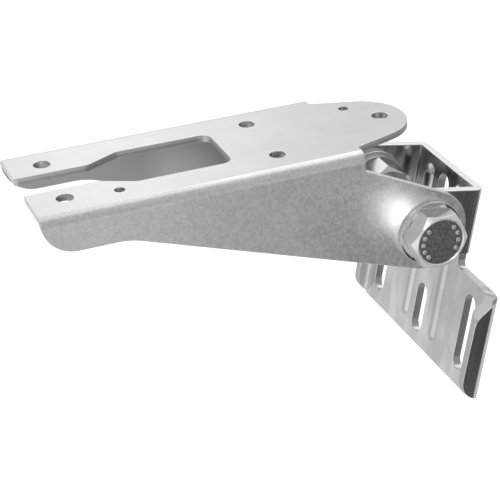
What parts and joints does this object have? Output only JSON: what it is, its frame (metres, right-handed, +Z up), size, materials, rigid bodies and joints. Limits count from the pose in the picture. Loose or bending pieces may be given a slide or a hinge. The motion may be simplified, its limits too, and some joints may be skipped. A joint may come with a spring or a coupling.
{
  "type": "hinged bow bracket",
  "caption": "Hinged stainless bow bracket: a forked channel arm that swings on stub bolts between the ears of a slotted base plate.",
  "frame": {"origin": "on the hull face of the base bracket, half way between its two middle slots", "axes": "+X forwards along the arm, away from the hull; +Y to port; +Z up"},
  "size_m": [0.2556, 0.1412, 0.1471],
  "materials": {
    "arm_steel": "satin, brushed along the arm",
    "base_steel": "polished stainless",
    "bolt_steel": "polished stainless, dull in the dish",
    "washer_steel": "satin",
    "spring_steel": "dull",
    "nut_steel": "machined",
    "thrust_plastic": "plain nylon"
  },
  "bodies": {
    "base": {"base_bracket": "base_steel", "bolt_port": "bolt_steel", "outer_washer_port": "washer_steel", "thrust_washer_port": "thrust_plastic", "inner_washer_port": "washer_steel", "spring_washer_port": "spring_steel", "nut_port": "nut_steel", "bolt_starboard": "bolt_steel", "outer_washer_starboard": "washer_steel", "thrust_washer_starboard": "thrust_plastic", "inner_washer_starboard": "washer_steel", "spring_washer_starboard": "spring_steel", "nut_starboard": "nut_steel"},
    "arm": {"arm": "arm_steel"}
  },
  "joints": [
    {"name": "arm_pivot", "type": "hinge", "parent": "base", "child": "arm", "pos_m": [0.035, 0, 0.0355], "axis": [0, 1, 0], "range_deg": [-40, 95]}
  ]
}
